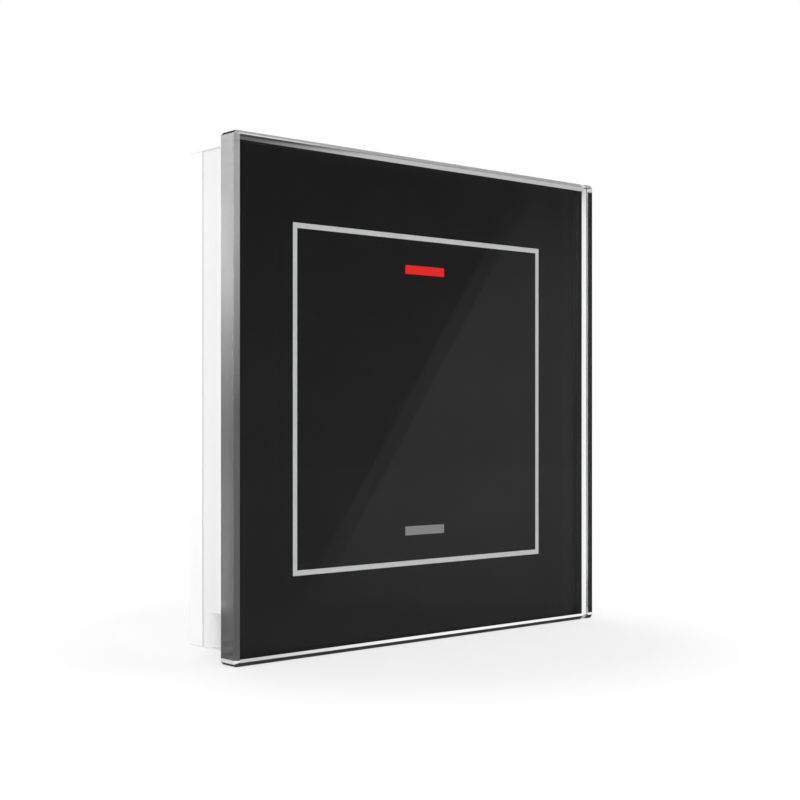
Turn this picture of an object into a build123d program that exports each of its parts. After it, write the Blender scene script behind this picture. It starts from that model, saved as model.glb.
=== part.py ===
from build123d import *
import os

# Glass smart wall switch, in millimetres.
# X runs to the right and Z up, as seen from the room. Y runs into the wall.
# The origin is the middle of the switch on the wall's face, so everything in the room has Y below 0.

# Glass pane
glass_side = 92.0
glass_thickness = 5.2
glass_front_chamfer = 0.72
glass_back_chamfer = 0.55
glass_corner_chamfer = 0.48

# Printed film behind the glass, held a hair away from it
print_gap = 0.05
print_thickness = 0.15
print_margin = 1.0
outline_side = 63.3
outline_line = 0.95
bar_width = 10.0
bar_height = 1.7
bar_offset = 25.0

# Adhesive and carrier behind the glass
adhesive_thickness = 0.2
carrier_thickness = 1.4
carrier_clearance = 0.15
carrier_gap = 0.1
carrier_corner_radius = 1.5
adhesive_margin = 0.3

# White housing
housing_inset = 1.65
housing_depth = 7.2
housing_wall = 1.8
housing_corner_radius = 0.6
front_wall = 1.2

# Lever pocket at each lower corner of the housing's side, with a ramp at its back
pocket_height = 6.2
pocket_ledge = 0.45
pocket_reach = 3.0
pocket_from_glass = 5.2
pocket_ramp = 1.1
pocket_wall = 1.5

# White base on the wall
base_depth = 4.3
base_floor = 1.6
base_relief = 0.6
base_rim = 4.0
base_opening_radius = 22.0
seam_height = 0.2
seam_depth = 0.4
slot_spacing = 60.0
slot_width = 4.2
slot_length = 7.0
slot_pad = 2.6
collar_height = 0.8
collar_width = 2.2

# Rear cover of the electronics
rear_cover_thickness = 1.0
rear_cover_clearance = 0.1
label_width = 34.0
label_height = 13.0
label_offset = -14.0
label_recess = 0.2

# Screws that hold the housing to the base
corner_screw_inset = 5.55
corner_screw_radius = 1.3
corner_head_radius = 2.5
corner_head_height = 1.5
corner_head_sink = 1.8
corner_boss_radius = 3.2
corner_screw_end = 1.0

# Small screws for the board and the rear cover
small_screw_radius = 1.0
small_head_radius = 1.8
small_head_height = 0.8
board_screw_inset = 4.0
board_boss_radius = 2.4
board_screw_bite = 1.7
cover_screw_inset = 4.55
cover_screw_z = 12.0
cover_boss_radius = 2.6
cover_screw_bite = 2.6
thread_clearance = 0.02
hole_clearance = 0.15
recess_width = 0.5
recess_share = 0.55

# Magnets, keepers and locating pins
magnet_inset = 5.55
magnet_from_corner = 13.0
magnet_radius = 3.0
magnet_thickness = 1.0
magnet_clearance = 0.05
keeper_radius = 3.5
keeper_thickness = 0.7
pin_inset = 5.55
pin_from_corner = 6.0
pin_radius = 1.5
pin_clearance = 0.1

# Circuit board
board_clearance = 0.8
board_thickness = 1.2
board_corner_radius = 2.0
board_gap = 1.1

# Packages on the back of the board: width, height and thickness, then the place along X and Z
chip_packages = {
    "microcontroller": [(7.0, 7.0, 1.0, -16.0, 4.0)],
    "touch_controller": [(4.0, 4.0, 0.9, 0.0, -13.0)],
    "bus_transceiver": [(6.0, 6.0, 0.9, 16.0, 6.0)],
    "regulator": [(3.0, 3.0, 0.9, 17.0, -6.0)],
    "crystal": [(3.2, 2.5, 0.7, -16.0, -4.5)],
    "choke": [(5.0, 5.0, 1.1, 17.0, 18.0)],
    "protection_diode": [(4.3, 2.6, 1.1, 7.0, 18.0)],
    "storage_capacitors": [(6.0, 3.2, 1.1, -8.0, 18.0), (6.0, 3.2, 1.1, -8.0, 23.0)],
}
chip_corner = 0.3
capacitor_size = (1.6, 0.8, 0.8)
resistor_size = (1.6, 0.8, 0.45)
chip_pitch = 2.2
chips_in_row = 9
capacitor_row_z = -20.0
resistor_row_z = -24.0

# Light path behind each bar
guide_overlap = 0.2
guide_clearance = 0.1
guide_base_width = 4.0
shroud_wall = 1.1
shroud_clearance = 0.25
led_width = 3.0
led_depth = 1.4
led_height = 0.6
led_gap = 0.1
front_touch_gap = 0.05

# Touch electrodes
pad_width = 24.0
pad_height = 9.0
pad_offset = 13.0
pad_corner_radius = 1.5
pad_clearance = 0.4

# Commissioning button and its light
button_x = 24.0
button_z = 4.5
led_pipe_z = -4.5
switch_side = 4.5
switch_height = 0.5
button_travel = 0.25
button_flange_height = 0.28
button_flange_radius = 2.1
button_stem_radius = 1.5
button_clearance = 0.1
button_sink = 0.2
switch_gap = 0.03
pipe_radius = 1.0
pipe_flange_radius = 1.6
pipe_flange_height = 0.3
signal_led_width = 1.6
signal_led_depth = 0.8
signal_led_height = 0.5

# Bus connection
pin_spacing = 5.75
bus_pin_radius = 0.5
bus_pin_tail = 0.6
bus_pin_tip = 3.0
header_width = 12.4
header_height = 9.0
header_depth = 3.2
header_wall = 1.0
header_window_clearance = 0.3
terminal_z = 6.0
terminal_half_width = 5.7
terminal_height = 9.6
terminal_depth = 10.5
terminal_gap = 0.1
terminal_edge = 0.4
terminal_pin_clearance = 0.25
wire_hole_radius = 0.55
wire_funnel_radius = 0.95
wire_funnel_depth = 1.2
wire_hole_pitch_x = 2.5
wire_hole_pitch_z = 4.6
clamp_width = 4.0
clamp_height = 7.4
clamp_depth = 3.4
clamp_leaf = 0.4
clamp_clearance = 0.1
clamp_from_front = 2.4

# Planes from the wall to the room, each worked out from the one behind it
y_wall = 0.0
y_base_relief = y_wall - base_relief
y_base_floor = y_base_relief - base_floor
y_seam = y_wall - base_depth
y_cover_front = y_seam - rear_cover_thickness
y_housing_front = y_seam - housing_depth
y_carrier_back = y_housing_front + carrier_thickness
y_front_wall_front = y_carrier_back + carrier_gap
y_front_wall_back = y_front_wall_front + front_wall
y_board_front = y_front_wall_back + board_gap
y_board_back = y_board_front + board_thickness
y_print_back = y_housing_front - adhesive_thickness
y_print_front = y_print_back - print_thickness
y_glass_back = y_print_front - print_gap
y_glass_front = y_glass_back - glass_thickness
y_touch = y_print_back + front_touch_gap

# Sides that follow from the ones above
housing_side = glass_side - 2 * housing_inset
inner_side = housing_side - 2 * housing_wall
carrier_side = inner_side - 2 * carrier_clearance
print_side = glass_side - 2 * print_margin
rear_cover_side = inner_side - 2 * rear_cover_clearance
guide_width = bar_width + 2 * guide_overlap
guide_height = bar_height + 2 * guide_overlap
shroud_width = guide_width + 2 * (guide_clearance + shroud_wall)
shroud_height = guide_height + 2 * (guide_clearance + shroud_wall)
window_width = shroud_width + 2 * shroud_clearance
window_height = shroud_height + 2 * shroud_clearance
pocket_inner_x = housing_side / 2 - pocket_reach
pocket_low_z = -housing_side / 2 + pocket_ledge
pocket_top_z = pocket_low_z + pocket_height
y_pocket_back = y_glass_back + pocket_from_glass
adhesive_side = 2 * (pocket_inner_x - adhesive_margin)

# Places that follow from the housing's inner walls
corner_screw_offset = inner_side / 2 - corner_screw_inset
magnet_offset_x = inner_side / 2 - magnet_inset
magnet_offset_z = corner_screw_offset - magnet_from_corner
pin_offset_x = inner_side / 2 - pin_inset
pin_offset_z = corner_screw_offset - pin_from_corner
cover_screw_x = inner_side / 2 - cover_screw_inset
board_side = 2 * (corner_screw_offset - corner_boss_radius - board_clearance)
board_screw_offset = board_side / 2 - board_screw_inset

CORNERS = [(-1, -1), (1, -1), (1, 1), (-1, 1)]
SIDES = [-1, 1]


def facing_room(y, x=0.0, z=0.0):
    """The plane at depth y that looks into the room, with its own axes along X and Z."""
    return Plane(origin=(x, y, z), x_dir=(1, 0, 0), z_dir=(0, -1, 0))


def plate(width, height, y_front, y_back, x=0.0, z=0.0, radius=0.0):
    """A flat plate between two depths, with rounded corners if a radius is given."""
    if radius > 0:
        outline = RectangleRounded(width, height, radius)
    else:
        outline = Rectangle(width, height)
    return extrude(facing_room(y_back, x, z) * outline, amount=y_back - y_front)


def disc(radius, y_front, y_back, x=0.0, z=0.0):
    """A round plate or rod between two depths."""
    return extrude(facing_room(y_back, x, z) * Circle(radius), amount=y_back - y_front)


def slot(length, width, y_front, y_back, x, z, upright):
    """A round-ended slot between two depths, lying along X, or along Z when upright."""
    outline = SlotOverall(length, width, rotation=90 if upright else 0)
    return extrude(facing_room(y_back, x, z) * outline, amount=y_back - y_front)


def spots(offset_x, offset_z):
    """The four points at plus and minus the two offsets."""
    return [(i * offset_x, k * offset_z) for i, k in CORNERS]


def cross_recess(radius, y_top, towards_wall, x, z):
    """The cross cut into a screw head whose outer face lies at y_top."""
    depth = small_head_height * recess_share
    y_front = y_top if towards_wall else y_top - depth
    y_back = y_top + depth if towards_wall else y_top
    long_side = 2 * radius * recess_share
    return [
        plate(long_side, recess_width, y_front, y_back, x, z),
        plate(recess_width, long_side, y_front, y_back, x, z),
    ]


def screw(head_radius, y_head_top, y_head_seat, shank_radius, y_tip, x, z):
    """A pan-head screw with a cross recess, driven either way along Y."""
    head = disc(head_radius, min(y_head_top, y_head_seat), max(y_head_top, y_head_seat), x, z)
    rim = head.edges().filter_by(GeomType.CIRCLE).group_by(Axis.Y)
    rounded = rim[0] if y_head_top < y_head_seat else rim[-1]
    head = fillet(rounded, abs(y_head_top - y_head_seat) * recess_share)
    shank = disc(shank_radius, min(y_tip, y_head_seat), max(y_tip, y_head_seat), x, z)
    return head + shank - cross_recess(head_radius, y_head_top, y_head_top < y_head_seat, x, z)


def group(shapes):
    """Identical loose pieces kept together as separate solids."""
    return Compound([s for shape in shapes for s in shape.solids()])


# Glass pane: float glass with a polished chamfer on every edge
def make_glass_panel():
    pane = plate(glass_side, glass_side, y_glass_front, y_glass_back)
    pane = chamfer(pane.edges().filter_by(Axis.Y), glass_corner_chamfer)
    pane = chamfer(pane.faces().sort_by(Axis.Y)[0].edges(), glass_front_chamfer)
    return chamfer(pane.faces().sort_by(Axis.Y)[-1].edges(), glass_back_chamfer)


def bar_window(z):
    """The rectangle of a light bar in the print."""
    return plate(bar_width, bar_height, y_print_front, y_print_back, 0, z)


def make_outline_print():
    outer = plate(outline_side, outline_side, y_print_front, y_print_back)
    inner_line = outline_side - 2 * outline_line
    return outer - plate(inner_line, inner_line, y_print_front, y_print_back)


# Black print: the field inside the outline and the frame around it
def make_black_print():
    sheet = plate(print_side, print_side, y_print_front, y_print_back)
    return sheet - [make_outline_print(), bar_window(bar_offset), bar_window(-bar_offset)]


# Double-sided film that bonds the carrier to the glass
def make_adhesive_sheet():
    sheet = plate(adhesive_side, adhesive_side, y_print_back, y_housing_front)
    for z in (bar_offset, -bar_offset):
        sheet -= plate(window_width, window_height, y_print_back, y_housing_front, 0, z)
    for z in (pad_offset, -pad_offset):
        sheet -= pad_opening(y_print_back, y_housing_front, z)
    return sheet


def pad_opening(y_front, y_back, z):
    """The window that a touch electrode passes through."""
    width = pad_width + 2 * pad_clearance
    height = pad_height + 2 * pad_clearance
    return plate(width, height, y_front, y_back, 0, z, pad_corner_radius + pad_clearance)


def pocket_space(side):
    """The open space of one lever pocket. It is widest at the housing's side, and its back is a
    ramp that leads a blade in behind the glass. It runs out past that side."""
    outer_x = housing_side / 2
    past_x = outer_x + print_margin
    outline = Polyline(
        (pocket_inner_x, y_housing_front),
        (past_x, y_housing_front),
        (past_x, y_pocket_back),
        (outer_x, y_pocket_back),
        (pocket_inner_x, y_pocket_back - pocket_ramp),
        close=True,
    )
    space = Pos(0, 0, pocket_low_z) * extrude(make_face(outline), pocket_height, dir=(0, 0, 1))
    return space if side > 0 else mirror(space, about=Plane.YZ)


# Carrier: the plastic plate behind the glass, with magnets and locating pins
def make_front_carrier():
    part = plate(
        carrier_side, carrier_side, y_housing_front, y_carrier_back, radius=carrier_corner_radius
    )
    pin_end = y_front_wall_back - pin_clearance
    for x, z in spots(pin_offset_x, pin_offset_z):
        part += disc(pin_radius, y_carrier_back, pin_end, x, z)
    y_magnet = y_carrier_back - magnet_thickness
    for x, z in spots(magnet_offset_x, magnet_offset_z):
        part -= disc(magnet_radius + magnet_clearance, y_magnet, y_carrier_back, x, z)
    for z in (bar_offset, -bar_offset):
        part -= plate(window_width, window_height, y_housing_front, y_carrier_back, 0, z)
    for z in (pad_offset, -pad_offset):
        part -= pad_opening(y_housing_front, y_carrier_back, z)
    # each lower corner is cut away over the lever pocket and the wall around it
    notch_width = pocket_reach + pocket_wall + carrier_clearance
    notch_top = pocket_top_z + pocket_wall + carrier_clearance
    notch_low = -housing_side / 2
    for side in SIDES:
        x = side * (housing_side / 2 - notch_width / 2)
        z = (notch_top + notch_low) / 2
        part -= plate(notch_width, notch_top - notch_low, y_housing_front, y_carrier_back, x, z)
    return part


def make_holding_magnets():
    y_magnet = y_carrier_back - magnet_thickness
    return group(
        disc(magnet_radius, y_magnet, y_carrier_back, x, z)
        for x, z in spots(magnet_offset_x, magnet_offset_z)
    )


# Housing: a square shell with a front wall, bosses behind it and a lever pocket in each side
def make_housing():
    shell = plate(housing_side, housing_side, y_housing_front, y_seam)
    shell = fillet(shell.edges().filter_by(Axis.Y), housing_corner_radius)
    shell -= plate(inner_side, inner_side, y_housing_front, y_front_wall_front)
    shell -= plate(inner_side, inner_side, y_front_wall_back, y_seam)
    for x, z in spots(corner_screw_offset, corner_screw_offset):
        shell += disc(corner_boss_radius, y_front_wall_back, y_seam, x, z)
    for x, z in spots(board_screw_offset, board_screw_offset):
        shell += disc(board_boss_radius, y_front_wall_back, y_board_front, x, z)
    for x, z in spots(cover_screw_x, cover_screw_z):
        shell += disc(cover_boss_radius, y_front_wall_back, y_cover_front, x, z)
    shell = add_pockets(shell)
    return cut_front_wall(shell)


def add_pockets(shell):
    """Walls in a block at each lower corner and hollows the lever pocket out of it."""
    block_width = pocket_reach + pocket_wall
    block_top = pocket_top_z + pocket_wall
    block_low = -housing_side / 2 + housing_wall
    y_block_back = y_pocket_back - pocket_ramp * housing_wall / pocket_reach + pocket_wall
    for side in SIDES:
        x = side * (pocket_inner_x - pocket_wall + (block_width - housing_wall) / 2)
        z = (block_top + block_low) / 2
        width = block_width - housing_wall
        shell += plate(width, block_top - block_low, y_housing_front, y_block_back, x, z)
        shell -= pocket_space(side)
    return shell


def cut_front_wall(shell):
    """Makes the windows, screw seats, keeper seats and holes in the housing's front wall."""
    y_front = y_front_wall_front
    y_back = y_front_wall_back
    for z in (bar_offset, -bar_offset):
        shell -= plate(window_width, window_height, y_front, y_back, 0, z)
    for z in (pad_offset, -pad_offset):
        shell -= pad_opening(y_front, y_back, z)
    for x, z in spots(corner_screw_offset, corner_screw_offset):
        y_seat = y_front + corner_head_sink
        shell -= disc(corner_head_radius + hole_clearance, y_front, y_seat, x, z)
        shell -= disc(corner_screw_radius + hole_clearance, y_seat, y_seam, x, z)
    for x, z in spots(magnet_offset_x, magnet_offset_z):
        shell -= disc(keeper_radius + magnet_clearance, y_front, y_front + keeper_thickness, x, z)
    for x, z in spots(pin_offset_x, pin_offset_z):
        shell -= disc(pin_radius + pin_clearance, y_front, y_back, x, z)
    for x, z in spots(board_screw_offset, board_screw_offset):
        y_hole = y_board_front - board_screw_bite
        shell -= disc(small_screw_radius + thread_clearance, y_hole, y_board_front, x, z)
    for x, z in spots(cover_screw_x, cover_screw_z):
        y_hole = y_cover_front - cover_screw_bite
        shell -= disc(small_screw_radius + thread_clearance, y_hole, y_cover_front, x, z)
    shell -= disc(button_stem_radius + button_clearance, y_front, y_back, button_x, button_z)
    shell -= disc(pipe_radius + magnet_clearance, y_front, y_back, button_x, led_pipe_z)
    return shell


def make_keeper_plates():
    y_back = y_front_wall_front + keeper_thickness
    return group(
        disc(keeper_radius, y_front_wall_front, y_back, x, z)
        for x, z in spots(magnet_offset_x, magnet_offset_z)
    )


def make_housing_screws():
    y_seat = y_front_wall_front + corner_head_sink
    return group(
        screw(
            corner_head_radius,
            y_seat - corner_head_height,
            y_seat,
            corner_screw_radius,
            y_wall - corner_screw_end,
            x,
            z,
        )
        for x, z in spots(corner_screw_offset, corner_screw_offset)
    )


def make_base_relief():
    """The shallow hollow of the base's wall side, inside its rim and around its pads and collar."""
    side = housing_side - 2 * base_rim
    relief = plate(side, side, y_base_relief, y_wall, radius=corner_boss_radius)
    relief -= disc(base_opening_radius + collar_width, y_base_relief, y_wall)
    for x, z in spots(corner_screw_offset, corner_screw_offset):
        relief -= disc(corner_boss_radius, y_base_relief, y_wall, x, z)
    length = slot_length + 2 * slot_pad
    width = slot_width + 2 * slot_pad
    for i in SIDES:
        offset = i * slot_spacing / 2
        relief -= slot(length, width, y_base_relief, y_wall, offset, 0, False)
        relief -= slot(length, width, y_base_relief, y_wall, 0, offset, True)
    return relief


# Wall base: a shallow tray with slots for the wall box screws
def make_wall_base():
    tray = plate(housing_side, housing_side, y_seam, y_wall)
    tray = fillet(tray.edges().filter_by(Axis.Y), housing_corner_radius)
    step_outer = plate(housing_side, housing_side, y_seam, y_seam + seam_height)
    step_side = housing_side - 2 * seam_depth
    tray -= step_outer - plate(step_side, step_side, y_seam, y_seam + seam_height)
    tray -= plate(inner_side, inner_side, y_seam, y_base_floor)
    tray -= make_base_relief()
    collar_radius = base_opening_radius + collar_width
    tray += disc(collar_radius, y_base_floor - collar_height, y_base_floor)
    for x, z in spots(corner_screw_offset, corner_screw_offset):
        tray += disc(corner_boss_radius, y_seam, y_base_floor, x, z)
        y_end = y_wall - corner_screw_end
        tray -= disc(corner_screw_radius + thread_clearance, y_seam, y_end, x, z)
    for side in SIDES:
        offset = side * slot_spacing / 2
        tray -= slot(slot_length, slot_width, y_seam, y_wall, offset, 0, False)
        tray -= slot(slot_length, slot_width, y_seam, y_wall, 0, offset, True)
    return tray - disc(base_opening_radius, y_seam, y_wall)


# Rear cover: closes the electronics, with a bare label field
def make_rear_cover():
    cover = plate(rear_cover_side, rear_cover_side, y_cover_front, y_seam)
    for x, z in spots(corner_screw_offset, corner_screw_offset):
        cover -= disc(corner_boss_radius + hole_clearance, y_cover_front, y_seam, x, z)
        corner = inner_side / 2 - corner_screw_offset
        x_mid = x + (corner / 2 if x > 0 else -corner / 2)
        z_mid = z + (corner / 2 if z > 0 else -corner / 2)
        cover -= plate(corner, corner, y_cover_front, y_seam, x_mid, z_mid)
    for x, z in spots(cover_screw_x, cover_screw_z):
        cover -= disc(small_screw_radius + hole_clearance, y_cover_front, y_seam, x, z)
    window_w = header_width + 2 * header_window_clearance
    window_h = header_height + 2 * header_window_clearance
    cover -= plate(window_w, window_h, y_cover_front, y_seam, 0, terminal_z)
    y_label = y_seam - label_recess
    return cover - plate(label_width, label_height, y_label, y_seam, 0, label_offset, 1.0)


def make_rear_cover_screws():
    return group(
        screw(
            small_head_radius,
            y_seam + small_head_height,
            y_seam,
            small_screw_radius,
            y_cover_front - cover_screw_bite + hole_clearance,
            x,
            z,
        )
        for x, z in spots(cover_screw_x, cover_screw_z)
    )


# Circuit board, held against the housing's bosses
def make_circuit_board():
    board = plate(board_side, board_side, y_board_front, y_board_back, radius=board_corner_radius)
    for x, z in spots(board_screw_offset, board_screw_offset):
        board -= disc(small_screw_radius + hole_clearance, y_board_front, y_board_back, x, z)
    for side in SIDES:
        x = side * pin_spacing / 2
        hole = bus_pin_radius + thread_clearance
        board -= disc(hole, y_board_front, y_board_back, x, terminal_z)
    return board


def make_board_screws():
    return group(
        screw(
            small_head_radius,
            y_board_back + small_head_height,
            y_board_back,
            small_screw_radius,
            y_board_front - board_screw_bite + hole_clearance,
            x,
            z,
        )
        for x, z in spots(board_screw_offset, board_screw_offset)
    )


# Light path: an LED on the board, an opaque shroud and a diffusing guide up to the print
def make_led(z):
    body = plate(led_width, led_depth, y_board_front - led_height, y_board_front, 0, z)
    return chamfer(body.faces().sort_by(Axis.Y)[0].edges(), led_height / 4)


def make_light_guide(z):
    y_base = y_board_front - led_height - led_gap
    y_neck = y_front_wall_front
    base = facing_room(y_base, 0, z) * Rectangle(guide_base_width, guide_height)
    neck = facing_room(y_neck, 0, z) * Rectangle(guide_width, guide_height)
    return loft([base, neck]) + plate(guide_width, guide_height, y_touch, y_neck, 0, z)


def make_light_shroud(z):
    outer = plate(shroud_width, shroud_height, y_touch, y_board_front, 0, z)
    cavity_width = guide_width + 2 * guide_clearance
    cavity_height = guide_height + 2 * guide_clearance
    return outer - plate(cavity_width, cavity_height, y_touch, y_board_front, 0, z)


# Conductive foam that reaches from the board to the back of the glass
def make_touch_pad(z):
    return plate(pad_width, pad_height, y_touch, y_board_front, 0, z, pad_corner_radius)


# Commissioning: a small push switch, the button over it, and a signal light with its pipe
def make_programming_switch():
    y_top = y_board_front - switch_height
    body = plate(switch_side, switch_side, y_top, y_board_front, button_x, button_z)
    return chamfer(body.edges().filter_by(Axis.Y), switch_side / 8)


def make_programming_button():
    y_flange_back = y_board_front - switch_height - switch_gap - button_travel
    y_flange_front = y_flange_back - button_flange_height
    y_tip = y_front_wall_front + button_sink
    flange = disc(button_flange_radius, y_flange_front, y_flange_back, button_x, button_z)
    stem = disc(button_stem_radius, y_tip, y_flange_front, button_x, button_z)
    tip = stem.edges().filter_by(GeomType.CIRCLE).group_by(Axis.Y)[0]
    return flange + fillet(tip, button_sink)


def make_programming_led():
    y_top = y_board_front - signal_led_height
    return plate(signal_led_width, signal_led_depth, y_top, y_board_front, button_x, led_pipe_z)


def make_programming_light_pipe():
    y_flange_front = y_front_wall_back
    y_flange_back = y_flange_front + pipe_flange_height
    flange = disc(pipe_flange_radius, y_flange_front, y_flange_back, button_x, led_pipe_z)
    return flange + disc(pipe_radius, y_front_wall_front, y_flange_front, button_x, led_pipe_z)


# Parts soldered to the back of the board
def make_chips(chips):
    """Moulded packages seated on the back of the board."""
    bodies = []
    for width, height, thickness, x, z in chips:
        body = plate(width, height, y_board_back, y_board_back + thickness, x, z)
        bodies.append(chamfer(body.edges().filter_by(Axis.Y), chip_corner))
    return group(bodies)


def make_chip_row(size, z):
    """A row of equal small chips, centred on the board."""
    width, height, thickness = size
    first = -(chips_in_row - 1) / 2 * chip_pitch
    return group(
        plate(width, height, y_board_back, y_board_back + thickness, first + n * chip_pitch, z)
        for n in range(chips_in_row)
    )


# Bus connection: a header through the rear cover and a two-part terminal pushed onto its pins
def pin_places():
    return [side * pin_spacing / 2 for side in SIDES]


def make_bus_header():
    y_back = y_board_back + header_depth
    block = plate(header_width, header_height, y_board_back, y_back, 0, terminal_z)
    hollow_w = header_width - 2 * header_wall
    hollow_h = header_height - 2 * header_wall
    y_floor = y_board_back + header_wall
    block -= plate(hollow_w, hollow_h, y_floor, y_back, 0, terminal_z)
    for x in pin_places():
        block -= disc(bus_pin_radius, y_board_back, y_floor, x, terminal_z)
    return block


def make_bus_pins():
    return group(
        disc(bus_pin_radius, y_board_front - bus_pin_tail, y_wall + bus_pin_tip, x, terminal_z)
        for x in pin_places()
    )


def terminal_planes():
    """Front and back planes of the terminal, which sits against the header's rim."""
    y_front = y_board_back + header_depth
    return y_front, y_front + terminal_depth


def make_terminal_half(side):
    y_front, y_back = terminal_planes()
    x = side * (terminal_half_width + terminal_gap) / 2
    half = plate(terminal_half_width, terminal_height, y_front, y_back, x, terminal_z)
    half = chamfer(half.faces().sort_by(Axis.Y)[-1].edges(), terminal_edge)
    pin_x = side * pin_spacing / 2
    y_clamp = y_front + clamp_from_front
    room_w = clamp_width + 2 * clamp_clearance
    room_h = clamp_height + 2 * clamp_clearance
    y_room_back = y_clamp + clamp_depth + clamp_clearance
    half -= plate(room_w, room_h, y_clamp - clamp_clearance, y_room_back, pin_x, terminal_z)
    half -= disc(
        bus_pin_radius + terminal_pin_clearance, y_front, y_wall + bus_pin_tip + 1, pin_x, terminal_z
    )
    for i, k in CORNERS:
        hole_x = pin_x + i * wire_hole_pitch_x / 2
        hole_z = terminal_z + k * wire_hole_pitch_z / 2
        half -= disc(wire_hole_radius, y_room_back, y_back, hole_x, hole_z)
        half -= disc(wire_funnel_radius, y_back - wire_funnel_depth, y_back, hole_x, hole_z)
    return half


def make_terminal_clamps():
    y_front, y_back = terminal_planes()
    y_clamp = y_front + clamp_from_front
    y_clamp_back = y_clamp + clamp_depth
    clamps = []
    for x in pin_places():
        cage = plate(clamp_width, clamp_height, y_clamp, y_clamp_back, x, terminal_z)
        inside_w = clamp_width - 2 * clamp_leaf
        inside_h = clamp_height - 2 * clamp_leaf
        cage -= plate(inside_w, inside_h, y_clamp + clamp_leaf, y_clamp_back, x, terminal_z)
        hole = bus_pin_radius + terminal_pin_clearance
        cage -= disc(hole, y_clamp, y_clamp + clamp_leaf, x, terminal_z)
        clamps.append(cage)
    return group(clamps)


def build_parts():
    """Every sub-part of the switch by name."""
    parts = {
        "glass_panel": make_glass_panel(),
        "black_print": make_black_print(),
        "outline_print": make_outline_print(),
        "light_window_top": bar_window(bar_offset),
        "light_window_bottom": bar_window(-bar_offset),
        "adhesive_sheet": make_adhesive_sheet(),
        "front_carrier": make_front_carrier(),
        "holding_magnets": make_holding_magnets(),
        "housing": make_housing(),
        "keeper_plates": make_keeper_plates(),
        "housing_screws": make_housing_screws(),
        "wall_base": make_wall_base(),
        "rear_cover": make_rear_cover(),
        "rear_cover_screws": make_rear_cover_screws(),
        "circuit_board": make_circuit_board(),
        "board_screws": make_board_screws(),
        "programming_switch": make_programming_switch(),
        "programming_button": make_programming_button(),
        "programming_led": make_programming_led(),
        "programming_light_pipe": make_programming_light_pipe(),
        "ceramic_capacitors": make_chip_row(capacitor_size, capacitor_row_z),
        "chip_resistors": make_chip_row(resistor_size, resistor_row_z),
        "bus_header": make_bus_header(),
        "bus_pins": make_bus_pins(),
        "bus_terminal_red": make_terminal_half(1),
        "bus_terminal_grey": make_terminal_half(-1),
        "terminal_clamps": make_terminal_clamps(),
    }
    for name, z in (("top", bar_offset), ("bottom", -bar_offset)):
        parts["led_" + name] = make_led(z)
        parts["light_guide_" + name] = make_light_guide(z)
        parts["light_shroud_" + name] = make_light_shroud(z)
    for name, z in (("top", pad_offset), ("bottom", -pad_offset)):
        parts["touch_pad_" + name] = make_touch_pad(z)
    for name, chips in chip_packages.items():
        parts[name] = make_chips(chips)
    return parts


os.makedirs("parts", exist_ok=True)
for part_name, shape in build_parts().items():
    export_step(shape, "parts/" + part_name + ".step")
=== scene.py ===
import math

import bmesh
import bpy
import numpy as np
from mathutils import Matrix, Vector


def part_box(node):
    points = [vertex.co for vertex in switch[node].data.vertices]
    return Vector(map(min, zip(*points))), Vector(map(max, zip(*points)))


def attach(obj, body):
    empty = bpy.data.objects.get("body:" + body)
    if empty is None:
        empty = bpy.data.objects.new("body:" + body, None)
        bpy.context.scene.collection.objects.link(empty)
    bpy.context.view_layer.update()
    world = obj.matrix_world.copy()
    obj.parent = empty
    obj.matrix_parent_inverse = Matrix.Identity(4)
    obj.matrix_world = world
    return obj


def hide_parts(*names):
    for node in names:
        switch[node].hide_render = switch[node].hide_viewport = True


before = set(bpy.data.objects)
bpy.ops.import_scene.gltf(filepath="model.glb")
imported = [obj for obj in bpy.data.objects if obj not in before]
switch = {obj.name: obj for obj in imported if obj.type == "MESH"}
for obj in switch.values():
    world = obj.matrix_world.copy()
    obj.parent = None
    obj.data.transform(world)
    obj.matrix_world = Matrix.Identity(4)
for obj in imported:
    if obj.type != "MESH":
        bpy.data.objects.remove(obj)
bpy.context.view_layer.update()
glass_low, glass_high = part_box("glass_panel")
MM = 0.001


# Camera: a level view from the left of the switch, about 270 mm away. Its distances are taken from
# the middle of the glass's front face.
def stand(name, data):
    """A new object in the scene."""
    made = bpy.data.objects.new(name, data)
    bpy.context.scene.collection.objects.link(made)
    return made


camera_from_glass = (-184.21 * MM, -201.06 * MM, -2.83 * MM)
camera_turn = math.radians(-41.08)
camera_data = bpy.data.cameras.new("camera")
camera_data.sensor_width = 36.0
camera_data.lens = 63.99
camera_data.shift_y = 0.01875
camera_data.clip_start = 0.01
camera_data.clip_end = 20.0
camera = stand("camera", camera_data)
camera.location = (camera_from_glass[0], glass_low.y + camera_from_glass[1], camera_from_glass[2])
camera.rotation_euler = (math.radians(90), 0, camera_turn)
bpy.context.scene.camera = camera


# Wall base: a shallow tray of white ABS that is screwed to the wall box. Its skin is spark-eroded.
# Ribs stiffen the hollow at its back, where the mould's ejector pins have left flat discs too.
def fill(tree, socket, value):
    """Links an output to the socket, or sets the socket to a plain value."""
    if isinstance(value, bpy.types.NodeSocket):
        tree.links.new(value, socket)
    else:
        socket.default_value = value


def feed(tree, node, sockets):
    """Fills a node's sockets, which are named with _ for a space."""
    for label, value in sockets.items():
        fill(tree, node.inputs[label.replace("_", " ")], value)


def treat(finish, **sockets):
    """Fills sockets of a finish's Principled shader."""
    feed(finish.node_tree, finish.node_tree.nodes["Principled BSDF"], sockets)


def finish_named(name, colour=(0.8, 0.8, 0.8), roughness=0.5):
    """A new material of a plain colour and roughness, and its node tree."""
    finish = bpy.data.materials.new(name)
    finish.use_nodes = True
    treat(finish, Base_Color=(*colour, 1), Roughness=roughness)
    return finish, finish.node_tree


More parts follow.
